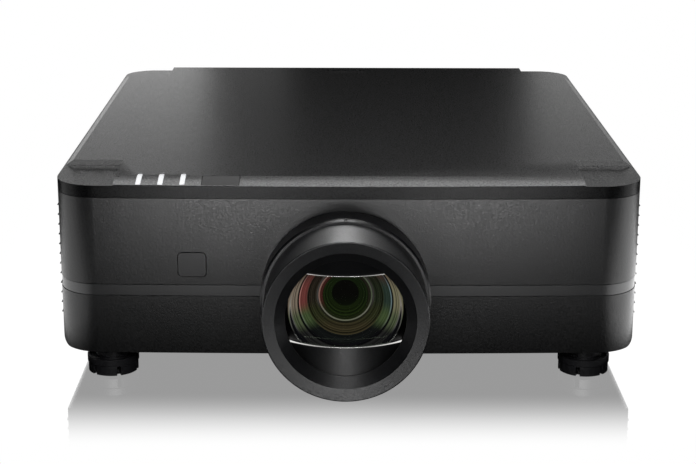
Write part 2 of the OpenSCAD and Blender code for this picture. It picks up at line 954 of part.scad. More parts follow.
module at_fans() {
    translate([-fan_x - fan_t, fan_ys[0], fan_z]) rotate([0, 90, 0]) children();
    for (i = [1, 2])
        translate([fan_x, fan_ys[i], fan_z]) rotate([0, 90, 0]) children();
}

module fan_frames() {
    strut = 4;
    color("#1b1c1e") at_fans() {
        difference() {
            translate([-fan_size / 2, -fan_size / 2, 0]) cube([fan_size, fan_size, fan_t]);
            translate([0, 0, -1]) cylinder(r = fan_bore, h = fan_t + 2);
            for (sx = [-1, 1])
                for (sy = [-1, 1])
                    translate([sx * (fan_size / 2 - 5), sy * (fan_size / 2 - 5), -1])
                        cylinder(r = 2.2, h = fan_t + 2);
        }
        cylinder(r = hub_r, h = 3);
        translate([0, 0, 3]) cylinder(r = 2, h = 14);
        for (a = [0, 120, 240])
            rotate([0, 0, a]) translate([hub_r - 1, -strut / 2, 0]) cube([fan_bore - hub_r + 2, strut, 3]);
    }
}

module rotor() {
    blade_h = 14;
    color("#2b2c2f") difference() {
        union() {
            translate([0, 0, 4]) cylinder(r = hub_r, h = fan_t - 6);
            intersection() {
                translate([0, 0, 5]) cylinder(r = rotor_r, h = fan_t - 7);
                for (i = [0:blade_count - 1])
                    rotate([0, 0, i * 360 / blade_count])
                        translate([hub_r - 2, 0, 4 + fan_t / 2 - 2]) rotate([35, 0, 0])
                            translate([0, -1, -blade_h / 2 - 3]) cube([rotor_r, 2, blade_h + 6]);
            }
        }
        translate([0, 0, 3]) cylinder(r = 2 + run_gap, h = 15);
    }
}

module intake_rotor() {
    translate([-fan_x - fan_t, fan_ys[0], fan_z]) rotate([0, 90, 0]) rotor();
}

module exhaust_rotor_front() {
    translate([fan_x, fan_ys[1], fan_z]) rotate([0, 90, 0]) rotor();
}

module exhaust_rotor_rear() {
    translate([fan_x, fan_ys[2], fan_z]) rotate([0, 90, 0]) rotor();
}

// ---------- Lens, in the lens frame ----------

module lens_base_ring() {
    edge = 1.6;
    color("#232428") at_lens() difference() {
        rotate_extrude() polygon([
            [seat_r, base_gap], [base_r - 1, base_gap], [base_r, base_gap + 1],
            [base_r, hood_back - edge], [base_r - edge, hood_back], [seat_r, hood_back]]);
        translate([-0.8, base_r - 1.2, hood_back - 4]) cube([1.6, 4, 6]);
    }
}

module lens_hood() {
    edge = 0.8;
    color("#2b2c30") at_lens() rotate_extrude() polygon([
        [hood_bore, hood_back], [hood_r, hood_back], [hood_r, hood_front - edge],
        [hood_r - edge, hood_front], [lip_r, hood_front - lip_dish], [mouth_r, hood_front - lip_deep],
        [mouth_r, hood_front - lip_deep - 1.2], [hood_bore - 1.5, hood_front - lip_deep - 1.2],
        [hood_bore, hood_front - lip_deep - 3]]);
}

// Two sloping shelves, above and below the opening, whose inner edges follow the front glass
module lens_mask() {
    mask_r = hood_bore - 0.2;
    plane_r = sqrt(pow(glass_curve + 0.3, 2) - mask_half * mask_half) + 0.5;
    mask_front = hood_front - lip_deep - 3.2;
    mask_back = hood_front - mask_depth;
    color("#34353a") at_lens() {
        tube(mask_r, mask_r - mask_skin, mask_back + 1, mask_front - 2);
        difference() {
            intersection() {
                translate([0, 0, mask_back]) cylinder(r = mask_r, h = mask_front - mask_back);
                for (s = [0, 180])
                    rotate([0, 0, s]) translate([0, mask_half, glass_centre]) rotate([-90, 0, 0])
                        cylinder(r1 = plane_r, r2 = plane_r + 16, h = mask_r - mask_half);
            }
            translate([0, 0, glass_centre]) sphere(glass_curve + 0.3);
        }
    }
}

module front_glass() {
    color("#4a5a48", 0.6) at_lens() intersection() {
        translate([0, 0, glass_centre]) difference() {
            sphere(glass_curve);
            sphere(glass_inner);
        }
        translate([0, 0, hood_back - 10]) cylinder(r = glass_r, h = 60);
    }
}

module glass_retainer() {
    seat_gap = 2;
    slope_h = 6.5;
    bore = glass_r + 0.1;
    ring_top = glass_centre + sqrt(pow(glass_curve, 2) - pow(glass_r, 2)) - 1;
    color("#1a1a1d") at_lens() rotate_extrude() polygon([
        [bore, hood_back], [seat_r - seat_gap, hood_back],
        [seat_r - seat_gap, ring_top - slope_h], [bore, ring_top]]);
}

module lens_barrel() {
    flange_front = hood_back;
    color("#1d1e21") at_lens() rotate_extrude() polygon([
        [barrel_r - tube_wall, barrel_step + 3], [barrel_r - tube_wall, flange_front - 9],
        [seat_r - 6, flange_front - 6], [seat_r - 6, flange_front], [seat_r - 0.2, flange_front],
        [seat_r - 0.2, base_gap + 4], [barrel_r, base_gap + 4], [barrel_r, barrel_step],
        [tube_r, barrel_step], [tube_r, -tube_end], [tube_r - tube_wall, -tube_end],
        [tube_r - tube_wall, barrel_step + 3]]);
}

module focus_cell() {
    cell_r = tube_r - tube_wall - run_gap;
    color("#55605a") at_lens() {
        tube(cell_r, 20, -30, -14);
        translate([0, 0, -24]) cylinder(r = 20, h = 5);
    }
}

// Straight-flanked spur gear, centred on the local Z axis
module gear_shape(teeth, phase) {
    pitch_r = gear_mod * teeth / 2;
    root_r = pitch_r - 1.25 * gear_mod;
    tip_r = pitch_r + 0.8 * gear_mod;
    root_half = 0.36;
    pitch_half = 0.235;
    tip_half = 0.11;
    tooth = [[root_r, -root_half], [pitch_r, -pitch_half], [tip_r, -tip_half],
             [tip_r, tip_half], [pitch_r, pitch_half], [root_r, root_half]];
    points = [for (i = [0:teeth - 1])
        for (q = tooth)
            let (a = phase + (i + q[1]) * 360 / teeth) [q[0] * cos(a), q[0] * sin(a)]];
    polygon(points);
}

module focus_ring() {
    color("#3c3d42") at_lens() translate([0, 0, ring_back - gear_l]) difference() {
        linear_extrude(gear_l) gear_shape(ring_count, 0);
        translate([0, 0, -1]) cylinder(r = tube_r + run_gap, h = gear_l + 2);
    }
}

module focus_pinion() {
    color("#d9d2b8") at_lens() translate([pinion_x, 0, ring_back - gear_l]) difference() {
        linear_extrude(gear_l) gear_shape(pinion_count, 180 + 180 / pinion_count);
        translate([0, 0, -1]) cylinder(r = 1.5 + run_gap, h = gear_l + 2);
    }
}

module focus_motor() {
    shaft_r = 1.5;
    motor_back = ring_back + 1;
    color("#8d8f94") at_lens() translate([pinion_x, 0, ring_back - gear_l - 1]) {
        cylinder(r = shaft_r, h = gear_l + 2);
        translate([0, 0, gear_l + 2]) cylinder(r = focus_motor_r, h = focus_motor_l);
    }
    color("#8d8f94") at_lens() difference() {
        block([tube_r - 2, pinion_x - focus_motor_r + 1.5], [-5, 5], [motor_back + 1, motor_back + 4]);
        cylinder(r = tube_r, h = far, center = true);
    }
}

// ---------- Lens shift ----------

module shift_frame() {
    y = [front_y - frame_back, front_y - frame_back + frame_t];
    window_r = tube_r + 12;
    color("#83858a") {
        difference() {
            block([lens_x - v_rod_x - 10, lens_x + v_rod_x + 10], y, [deck, v_rod_top + v_lug_h]);
            translate([lens_x, y[0] - 1, lens_z]) rotate([-90, 0, 0]) cylinder(r = window_r, h = frame_t + 2);
        }
        for (s = [-1, 1])
            for (z = [deck, v_rod_top])
                difference() {
                    block([lens_x + s * v_rod_x - v_lug / 2, lens_x + s * v_rod_x + v_lug / 2],
                          [y[1], front_y - v_rod_back + 5.5], [z, z + v_lug_h]);
                    translate([lens_x + s * v_rod_x, front_y - v_rod_back, z - 1])
                        cylinder(r = v_rod_r, h = v_lug_h + 2);
                }
    }
}

module upright_guide_rods() {
    color("#c8cacd") for (s = [-1, 1])
        translate([lens_x + s * v_rod_x, front_y - v_rod_back, deck])
            cylinder(r = v_rod_r, h = v_rod_top + v_lug_h - deck);
}

module upright_carriage() {
    y = [front_y - carriage_back, front_y - carriage_back + carriage_t];
    hole_r = tube_r + shift_x + pass_gap;
    ear_half = 14;
    sleeve_half = 6;
    sleeve_y = about(front_y - v_rod_back, 5);
    ear_z = about(lens_z, 22);
    rod_reach = 120;
    color("#5d6f86") difference() {
        union() {
            block(about(lens_x, carriage_half), y, [lens_z - carriage_low, lens_z + carriage_high]);
            for (s = [-1, 1]) {
                block(about(lens_x + s * v_rod_x, ear_half), y, ear_z);
                block(about(lens_x + s * v_rod_x, sleeve_half), sleeve_y, ear_z);
                block(about(lens_x + s * h_lug_x, h_lug / 2), [y[1], front_y - h_rod_back + 5],
                      [lens_z - carriage_low, lens_z + h_screw_z + 5]);
            }
            block([lens_x + v_rod_x, lens_x + v_screw_x + sleeve_half], sleeve_y, about(lens_z, sleeve_half));
        }
        translate([lens_x, y[0] - 5, lens_z]) rotate([-90, 0, 0]) cylinder(r = hole_r, h = 30);
        for (s = [-1, 1])
            translate([lens_x + s * v_rod_x, front_y - v_rod_back, 0])
                cylinder(r = v_rod_r + run_gap, h = far);
        translate([lens_x + v_screw_x, front_y - v_rod_back, 0]) cylinder(r = screw_r + run_gap, h = far);
        for (s = [-1, 1])
            translate([lens_x - rod_reach / 2, front_y - h_rod_back, lens_z + s * h_rod_z])
                rotate([0, 90, 0]) cylinder(r = h_rod_r, h = rod_reach);
        translate([lens_x + h_lug_x - h_lug, front_y - h_rod_back, lens_z + h_screw_z]) rotate([0, 90, 0])
            cylinder(r = screw_r + run_gap, h = 2 * h_lug);
    }
}

module upright_screw() {
    color("#d0d2d5") translate([lens_x + v_screw_x, front_y - v_rod_back, deck + v_motor_h + 1])
        cylinder(r = screw_r, h = v_rod_top - deck - v_motor_h - 4);
}

module upright_motor() {
    color("#8d8f94") translate([lens_x + v_screw_x, front_y - v_rod_back, deck])
        cylinder(r = v_motor_r, h = v_motor_h);
}

module level_guide_rods() {
    half = h_lug_x + h_lug / 2;
    color("#c8cacd") for (s = [-1, 1])
        translate([lens_x - half, front_y - h_rod_back, lens_z + s * h_rod_z]) rotate([0, 90, 0])
            cylinder(r = h_rod_r, h = 2 * half);
}

module level_carriage() {
    y = [front_y - h_plate_back, front_y - h_plate_back + carriage_t];
    sleeve_y = about(front_y - h_rod_back, 4);
    sleeve_half = 24;
    outer_z = h_rod_z + 4;
    inner_z = h_rod_z - 3;
    rod_reach = 120;
    color("#86705d") difference() {
        union() {
            block(about(lens_x, h_plate_half), y, about(lens_z, outer_z));
            block(about(lens_x, sleeve_half), sleeve_y, [lens_z - outer_z, lens_z - inner_z]);
            block(about(lens_x, sleeve_half), sleeve_y, [lens_z + inner_z, lens_z + outer_z]);
            block([lens_x + nut_x, lens_x + nut_x + nut_w], sleeve_y,
                  [lens_z + h_rod_z, lens_z + h_screw_z + 4]);
        }
        translate([lens_x, y[0] - 10, lens_z]) rotate([-90, 0, 0]) cylinder(r = tube_r, h = 40);
        for (s = [-1, 1])
            translate([lens_x - rod_reach / 2, front_y - h_rod_back, lens_z + s * h_rod_z])
                rotate([0, 90, 0]) cylinder(r = h_rod_r + run_gap, h = rod_reach);
        translate([lens_x - rod_reach / 2, front_y - h_rod_back, lens_z + h_screw_z]) rotate([0, 90, 0])
            cylinder(r = screw_r + run_gap, h = rod_reach);
    }
}

module level_screw() {
    color("#d0d2d5") translate([lens_x - 20, front_y - h_rod_back, lens_z + h_screw_z]) rotate([0, 90, 0])
        cylinder(r = screw_r, h = h_lug_x + h_lug / 2 + 20);
}

module level_motor() {
    left = lens_x - h_lug_x + h_lug / 2;
    color("#8d8f94") translate([left, front_y - h_rod_back, lens_z + h_screw_z]) rotate([0, 90, 0])
        cylinder(r = h_motor_r, h = lens_x - 21 - left);
}

// ---------- Feet ----------

module foot_knob(x, y, turn) {
    lobe_step = 360 / lobe_count;
    lobe_half = 0.42 * lobe_step;
    color("#1c1d1f") translate([x, y, 0]) rotate([0, 0, turn]) difference() {
        union() {
            intersection() {
                translate([0, 0, skirt_z0]) cylinder(r = knob_r - 0.7, h = skirt_z1 - skirt_z0 + 0.5);
                for (i = [0:lobe_count - 1])
                    rotate([0, 0, i * lobe_step])
                        translate([0, 0, skirt_z0]) linear_extrude(skirt_z1 - skirt_z0 + 0.5)
                            polygon([[0, 0], [40 * cos(lobe_half), -40 * sin(lobe_half)], [45, 0],
                                     [40 * cos(lobe_half), 40 * sin(lobe_half)]]);
            }
            translate([0, 0, skirt_z1]) cylinder(r = knob_r - 1.2, h = disc_z0 - skirt_z1);
            translate([0, 0, disc_z0]) cylinder(r = knob_r, h = disc_z1 - disc_z0);
            translate([0, 0, disc_z0]) cylinder(r = 13.5, h = collar_z1 - disc_z0);
            cylinder(r = stud_r, h = stud_top);
        }
        translate([0, 0, disc_z1 - 1.6]) difference() {
            cylinder(r = knob_r - 2, h = 2);
            translate([0, 0, -1]) cylinder(r = 14.5, h = 4);
        }
        translate([0, 0, -1]) cylinder(r = pad_r + 0.7, h = pad_h + 1.5);
        translate([0, 0, -1]) cylinder(r = pivot_r + run_gap, h = pad_h + pivot_h + 1.5);
    }
}

module foot_pad(x, y) {
    color("#141416") translate([x, y, 0]) {
        cylinder(r = pad_r, h = pad_h);
        cylinder(r = pivot_r, h = pad_h + pivot_h);
    }
}

module foot_knob_front_left() {
    foot_knob(foot_xs[0], foot_ys[0], -100);
}

module foot_knob_front_right() {
    foot_knob(foot_xs[1], foot_ys[0], -80);
}

module foot_knob_rear_left() {
    foot_knob(foot_xs[0], foot_ys[1], 12);
}

module foot_knob_rear_right() {
    foot_knob(foot_xs[1], foot_ys[1], 25);
}

module foot_pad_front_left() {
    foot_pad(foot_xs[0], foot_ys[0]);
}

module foot_pad_front_right() {
    foot_pad(foot_xs[1], foot_ys[0]);
}

module foot_pad_rear_left() {
    foot_pad(foot_xs[0], foot_ys[1]);
}

module foot_pad_rear_right() {
    foot_pad(foot_xs[1], foot_ys[1]);
}

lower_case();
accent_band();
front_bezel();
top_cover();
side_panel_left();
side_panel_right();
rear_panel();
status_light_pipes();
remote_window();
sensor_window();
case_screws();
chassis_plate();
power_supply();
main_board();
light_engine();
dmd_heatsink();
laser_module();
laser_heatsink();
diffuser_wheel();
wheel_motor();
fan_frames();
intake_rotor();
exhaust_rotor_front();
exhaust_rotor_rear();
lens_base_ring();
lens_hood();
lens_mask();
front_glass();
glass_retainer();
lens_barrel();
focus_cell();
focus_ring();
focus_pinion();
focus_motor();
shift_frame();
upright_guide_rods();
upright_carriage();
upright_screw();
upright_motor();
level_guide_rods();
level_carriage();
level_screw();
level_motor();
foot_knob_front_left();
foot_knob_front_right();
foot_knob_rear_left();
foot_knob_rear_right();
foot_pad_front_left();
foot_pad_front_right();
foot_pad_rear_left();
foot_pad_rear_right();
power_inlet();
mains_rocker();
signal_ports();
audio_jacks();
power_key();
enter_key();
up_down_key();
left_right_key();
menu_key();
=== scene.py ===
"""The looks of a large-venue laser projector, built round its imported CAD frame."""

import json
import math

import bmesh
import bpy
from mathutils import Matrix, Vector

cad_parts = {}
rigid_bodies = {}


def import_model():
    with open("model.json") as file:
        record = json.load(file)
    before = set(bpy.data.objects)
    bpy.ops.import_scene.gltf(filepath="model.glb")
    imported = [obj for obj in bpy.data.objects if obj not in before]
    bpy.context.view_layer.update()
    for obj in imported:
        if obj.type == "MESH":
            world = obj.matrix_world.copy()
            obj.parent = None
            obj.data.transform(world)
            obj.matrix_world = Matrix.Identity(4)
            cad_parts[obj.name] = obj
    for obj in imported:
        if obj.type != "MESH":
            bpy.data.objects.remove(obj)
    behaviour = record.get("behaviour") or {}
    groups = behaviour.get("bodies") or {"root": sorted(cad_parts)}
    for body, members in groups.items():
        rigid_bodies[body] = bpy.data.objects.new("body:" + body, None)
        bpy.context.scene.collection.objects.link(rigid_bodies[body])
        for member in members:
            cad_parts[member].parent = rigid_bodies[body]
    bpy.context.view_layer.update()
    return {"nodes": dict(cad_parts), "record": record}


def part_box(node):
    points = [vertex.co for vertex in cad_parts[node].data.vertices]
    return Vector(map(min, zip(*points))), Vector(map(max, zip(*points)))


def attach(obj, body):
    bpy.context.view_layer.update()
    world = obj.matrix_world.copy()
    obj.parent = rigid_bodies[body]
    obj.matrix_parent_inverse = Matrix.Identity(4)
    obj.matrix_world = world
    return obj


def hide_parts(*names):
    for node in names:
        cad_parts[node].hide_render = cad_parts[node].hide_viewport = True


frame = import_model()
nodes = frame["nodes"]

MM = 0.001
hood_low, hood_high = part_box("lens_hood")
LENS_X = (hood_low.x + hood_high.x) / 2
LENS_Z = (hood_low.z + hood_high.z) / 2
case_low, case_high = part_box("lower_case")
FRONT_Y = case_low.y


# ---------------------------------------------------------------- Camera

def make_camera():
    """A long lens, a little above the projector and almost square to its front."""
    distance, height, aside = 1.2865, 0.4706, -0.0088
    tilt, swing, roll = 15.78, 0.345, 0.2
    place = (aside, FRONT_Y - distance, case_low.z + height)
    data = bpy.data.cameras.new("camera")
    data.sensor_width = 36.0
    data.lens = 85.4
    camera = bpy.data.objects.new("camera", data)
    bpy.context.scene.collection.objects.link(camera)
    turn = Matrix.Rotation(-math.radians(swing), 4, "Z")
    lean = Matrix.Rotation(math.radians(90 - tilt), 4, "X")
    spin = Matrix.Rotation(math.radians(roll), 4, "Z")
    camera.matrix_world = Matrix.Translation(place) @ turn @ lean @ spin
    bpy.context.scene.camera = camera


# ---------------------------------------------------------------- Materials

# Sizes of the moulded grain, in metres across
FINE_GRAIN = 0.0011
CASE_GRAIN = 0.0016
CLOUD = 0.06


class Nodes:
    """A small helper that adds shader nodes and joins their sockets."""

    def __init__(self, name):
        self.material = bpy.data.materials.new(name)
        self.material.use_nodes = True
        self.tree = self.material.node_tree
        self.shader = self.tree.nodes["Principled BSDF"]

    def add(self, kind, **values):
        node = self.tree.nodes.new(kind)
        for key, value in values.items():
            if key in node.inputs:
                node.inputs[key].default_value = value
            else:
                setattr(node, key, value)
        return node

    def join(self, out, into):
        self.tree.links.new(out, into)

    def place(self):
        """Object coordinates, in metres, since every piece keeps the frame's axes."""
        return self.add("ShaderNodeTexCoord").outputs["Object"]

    def noise(self, where, size, detail=2.0, rough=0.5):
        """Noise whose features are about size metres across."""
        node = self.add("ShaderNodeTexNoise", Scale=1.0 / size, Detail=detail, Roughness=rough)
        self.join(where, node.inputs["Vector"])
        return node.outputs["Fac"]

    def spread(self, value, low, high):
        """Maps noise, which stays near its middle, to low..high."""
        node = self.add("ShaderNodeMapRange")
        node.inputs["From Min"].default_value = 0.3
        node.inputs["From Max"].default_value = 0.7
        node.inputs["To Min"].default_value = low
        node.inputs["To Max"].default_value = high
        self.join(value, node.inputs["Value"])
        return node.outputs["Result"]

    def blend(self, factor, first, second):
        node = self.add("ShaderNodeMix", data_type="RGBA")
        node.inputs["A"].default_value = (*first, 1)
        node.inputs["B"].default_value = (*second, 1)
        self.join(factor, node.inputs["Factor"])
        return node.outputs["Result"]

    def bump(self, height, depth, strength=1.0, under=None):
        node = self.add("ShaderNodeBump", Strength=strength, Distance=depth)
        self.join(height, node.inputs["Height"])
        if under is not None:
            self.join(under, node.inputs["Normal"])
        return node.outputs["Normal"]


def moulded(name, dark, light, rough, grain=FINE_GRAIN, depth=0.00005, gloss=0.5, spread=0.08):
    """Spark-textured moulded plastic: a fine grain in height, tone and roughness."""
    fine_share = 0.75
    n = Nodes(name)
    where = n.place()
    fine = n.noise(where, grain, 3.0, 0.6)
    broad = n.noise(where, CLOUD, 2.0)
    tone = n.add("ShaderNodeMath", operation="MULTIPLY_ADD")
    n.join(fine, tone.inputs[0])
    tone.inputs[1].default_value = fine_share
    scaled = n.add("ShaderNodeMath", operation="MULTIPLY")
    n.join(broad, scaled.inputs[0])
    scaled.inputs[1].default_value = 1 - fine_share
    n.join(scaled.outputs[0], tone.inputs[2])
    n.join(n.blend(n.spread(tone.outputs[0], 0.0, 1.0), dark, light), n.shader.inputs["Base Color"])
    n.join(n.spread(fine, rough - spread, rough + spread), n.shader.inputs["Roughness"])
    n.join(n.bump(fine, depth), n.shader.inputs["Normal"])
    n.shader.inputs["Specular IOR Level"].default_value = gloss
    return n.material


def cover_plastic_painted_sheen(name, dark, light, rough):
    """The cover's plastic: dull on its upright rim, and a light, coarse grey on the sloping front strip,
    which is a painted highlight where the light falls.
    """
    rim_back = FRONT_Y + 60 * MM
    # Colours of the painted highlight on the sloping front strip
    painted_sheen_low, painted_sheen_high = (0.03, 0.03, 0.031), (0.46, 0.46, 0.47)
    n = Nodes(name)
    where = n.place()
    fine = n.noise(where, FINE_GRAIN, 3.0, 0.6)
    coarse = n.noise(where, CASE_GRAIN, 4.0, 0.75)
    face = n.add("ShaderNodeNewGeometry")
    split = n.add("ShaderNodeSeparateXYZ")
    n.join(face.outputs["Normal"], split.inputs[0])

    def band(socket, low, high):
        node = n.add("ShaderNodeMapRange", interpolation_type="SMOOTHSTEP")
        node.inputs["From Min"].default_value = low
        node.inputs["From Max"].default_value = high
        n.join(socket, node.inputs["Value"])
        return node.outputs["Result"]

    def times(first, second):
        node = n.add("ShaderNodeMath", operation="MULTIPLY")
        n.join(first, node.inputs[0])
        n.join(second, node.inputs[1])
        return node.outputs[0]

    def invert(socket):
        node = n.add("ShaderNodeMath", operation="SUBTRACT")
        node.inputs[0].default_value = 1.0
        n.join(socket, node.inputs[1])
        return node.outputs[0]

    def size_of(socket):
        node = n.add("ShaderNodeMath", operation="ABSOLUTE")
        n.join(socket, node.inputs[0])
        return node.outputs[0]

    spot = n.add("ShaderNodeSeparateXYZ")
    n.join(where, spot.inputs[0])
    ahead = band(spot.outputs["Y"], rim_back, rim_back - 5 * MM)
    # Faces that lean forward like the sloping front strip are picked by their normal and painted light grey:
    # a painted highlight for the light that falls on the strip
    painted_sheen_mask = times(band(split.outputs["Y"], -0.12, -0.17), band(split.outputs["Z"], 0.93, 0.95))
    upright = times(band(split.outputs["Z"], 0.5, 0.2), ahead)
    sideways = times(band(size_of(split.outputs["X"]), 0.3, 0.5), invert(ahead))
    unlit = n.add("ShaderNodeMath", operation="MAXIMUM")
    n.join(upright, unlit.inputs[0])
    n.join(sideways, unlit.inputs[1])
    plain = n.blend(n.spread(fine, 0.0, 1.0), dark, light)
    painted_sheen = n.blend(n.spread(coarse, 0.0, 1.0), painted_sheen_low, painted_sheen_high)
    tone = n.add("ShaderNodeMix", data_type="RGBA")
    n.join(painted_sheen_mask, tone.inputs["Factor"])
    n.join(plain, tone.inputs["A"])
    n.join(painted_sheen, tone.inputs["B"])
    n.join(tone.outputs["Result"], n.shader.inputs["Base Color"])
    dull = n.add("ShaderNodeMapRange")
    dull.inputs["To Min"].default_value = 0.5
    dull.inputs["To Max"].default_value = 0.12
    n.join(unlit.outputs[0], dull.inputs["Value"])
    n.join(dull.outputs["Result"], n.shader.inputs["Specular IOR Level"])
    n.join(n.spread(fine, rough - 0.08, rough + 0.08), n.shader.inputs["Roughness"])
    n.join(n.bump(fine, 0.00005), n.shader.inputs["Normal"])
    return n.material


def metal(name, dark, light, rough, grain=0.002, stretch=(1, 1, 1), depth=0.00001):
    """Machined, cast or plated metal: stretched noise gives the direction of its marks."""
    n = Nodes(name)
    scale = n.add("ShaderNodeMapping")
    scale.inputs["Scale"].default_value = stretch
    n.join(n.place(), scale.inputs["Vector"])
    marks = n.noise(scale.outputs["Vector"], grain, 4.0, 0.6)
    n.join(n.blend(n.spread(marks, 0.0, 1.0), dark, light), n.shader.inputs["Base Color"])
    n.join(n.spread(marks, rough - 0.08, rough + 0.08), n.shader.inputs["Roughness"])
    n.join(n.bump(marks, depth), n.shader.inputs["Normal"])
    n.shader.inputs["Metallic"].default_value = 1.0
    return n.material


def glowing(name, colour, strength):
    n = Nodes(name)
    cloud = n.noise(n.place(), 0.003, 2.0)
    shade = tuple(0.86 * c for c in colour)
    n.join(n.blend(n.spread(cloud, 0.0, 1.0), shade, colour), n.shader.inputs["Base Color"])
    n.shader.inputs["Roughness"].default_value = 0.3
    n.shader.inputs["Emission Color"].default_value = (*colour, 1)
    n.shader.inputs["Emission Strength"].default_value = strength
    return n.material


def coated_glass(name, tint, coat_tint):
    n = Nodes(name)
    smear = n.noise(n.place(), 0.02, 3.0)
    n.join(n.spread(smear, 0.01, 0.035), n.shader.inputs["Roughness"])
    n.shader.inputs["Base Color"].default_value = (*tint, 1)
    n.shader.inputs["Transmission Weight"].default_value = 1.0
    n.shader.inputs["IOR"].default_value = 1.45
    n.shader.inputs["Specular Tint"].default_value = (*coat_tint, 1)
    n.shader.inputs["Specular IOR Level"].default_value = 0.06
    return n.material


BLACK = (0.0035, 0.0037, 0.0042)
GREY = (0.0125, 0.0130, 0.0142)

MATERIALS = {
    "case": moulded("case_plastic", BLACK, GREY, 0.36, grain=CASE_GRAIN, depth=0.0001),
    "top_cover": cover_plastic_painted_sheen("cover_plastic_painted_sheen", BLACK, GREY, 0.30),
    "band": moulded("band_plastic", (0.018, 0.019, 0.021), (0.026, 0.027, 0.030), 0.34,
                    depth=0.000006, gloss=0.75, spread=0.03),
    "side_panels": moulded("side_plastic", BLACK, GREY, 0.42),
    "rear_panel": moulded("rear_plastic", BLACK, GREY, 0.45),
    "light_pipe": glowing("light_pipe_white", (0.95, 0.96, 0.98), 0.75),
    "window": moulded("window_black", (0.001, 0.001, 0.0012), (0.002, 0.002, 0.0022), 0.12,
                      depth=0.000002, gloss=0.04),
    "sensor": moulded("sensor_plastic", (0.012, 0.0125, 0.0135), (0.024, 0.0245, 0.027), 0.36, depth=0.00003),
    "steel": metal("screw_steel", (0.4, 0.41, 0.43), (0.6, 0.61, 0.63), 0.32),
    "sheet_metal": metal("plated_sheet", (0.45, 0.46, 0.47), (0.62, 0.63, 0.64), 0.38, 0.01),
    "board": moulded("solder_mask", (0.012, 0.11, 0.04), (0.02, 0.16, 0.06), 0.35, 0.004),
    "cast_alloy": metal("cast_alloy", (0.32, 0.33, 0.35), (0.46, 0.47, 0.49), 0.55, 0.0016, depth=0.00008),
    "heatsink": metal("extruded_alloy", (0.5, 0.51, 0.53), (0.66, 0.67, 0.69), 0.4, 0.0015, (20, 1, 20)),
    "diffuser": moulded("frosted_disc", (0.6, 0.62, 0.65), (0.72, 0.74, 0.77), 0.5, 0.002),
    "motor": metal("plated_can", (0.2, 0.2, 0.22), (0.32, 0.32, 0.34), 0.4, 0.003),
    "fan": moulded("fan_plastic", (0.008, 0.008, 0.009), (0.018, 0.018, 0.02), 0.45),
    "lens_ring": moulded("ring_plastic", (0.006, 0.006, 0.009), (0.014, 0.014, 0.019), 0.36, 0.0009, 0.00002),
    "hood": moulded("hood_plastic", (0.012, 0.0125, 0.015), (0.026, 0.027, 0.031), 0.38, 0.0014, 0.00008),
    "mask": moulded("mask_plastic", (0.012, 0.0125, 0.014), (0.024, 0.025, 0.028), 0.40, 0.0012, 0.00003),
    "front_glass": coated_glass("front_glass_coated", (0.97, 1.0, 0.96), (0.75, 1.0, 0.7)),
    "barrel": moulded("barrel_matt", (0.004, 0.004, 0.005), (0.010, 0.010, 0.012), 0.5),
    "cell": moulded("cell_black", (0.006, 0.008, 0.005), (0.014, 0.018, 0.011), 0.25),
    "gear": moulded("gear_plastic", (0.03, 0.03, 0.033), (0.05, 0.05, 0.055), 0.4),
    "pinion": moulded("acetal", (0.6, 0.56, 0.46), (0.72, 0.68, 0.56), 0.4),
    "carriage": metal("machined_alloy", (0.36, 0.38, 0.41), (0.5, 0.52, 0.55), 0.35, 0.0012, (1, 12, 1)),
    "socket": moulded("socket_plastic", (0.004, 0.004, 0.005), (0.012, 0.012, 0.013), 0.35),
    "port_shell": metal("port_plating", (0.5, 0.51, 0.53), (0.68, 0.69, 0.71), 0.28, 0.002),
    "jack": moulded("jack_plastic", (0.02, 0.12, 0.06), (0.03, 0.16, 0.08), 0.4),
    "knob": moulded("knob_plastic", (0.006, 0.006, 0.007), (0.014, 0.014, 0.016), 0.42, 0.0009),
    "pad": moulded("pad_rubber", (0.008, 0.008, 0.008), (0.018, 0.018, 0.018), 0.75, 0.0015, gloss=0.3),
    "keys": moulded("key_plastic", (0.025, 0.025, 0.028), (0.05, 0.05, 0.055), 0.42),
}

# Rounding of each node's hard edges, in millimetres
BEVELS = {
    "lower_case": 0.7, "front_bezel": 0.5, "accent_band": 0.4, "top_cover": 0.6,
    "side_panel_left": 0.3, "side_panel_right": 0.3, "rear_panel": 0.3,
    "lens_base_ring": 0.3, "lens_hood": 0.3, "power_inlet": 0.2, "signal_ports": 0.2,
    "foot_knob_front_left": 0.4, "foot_knob_front_right": 0.4, "foot_knob_rear_left": 0.4,
    "foot_knob_rear_right": 0.4, "lens_mask": 0.3, "status_light_pipes": 0.2, "remote_window": 0.2,
    "sensor_window": 0.2,
}


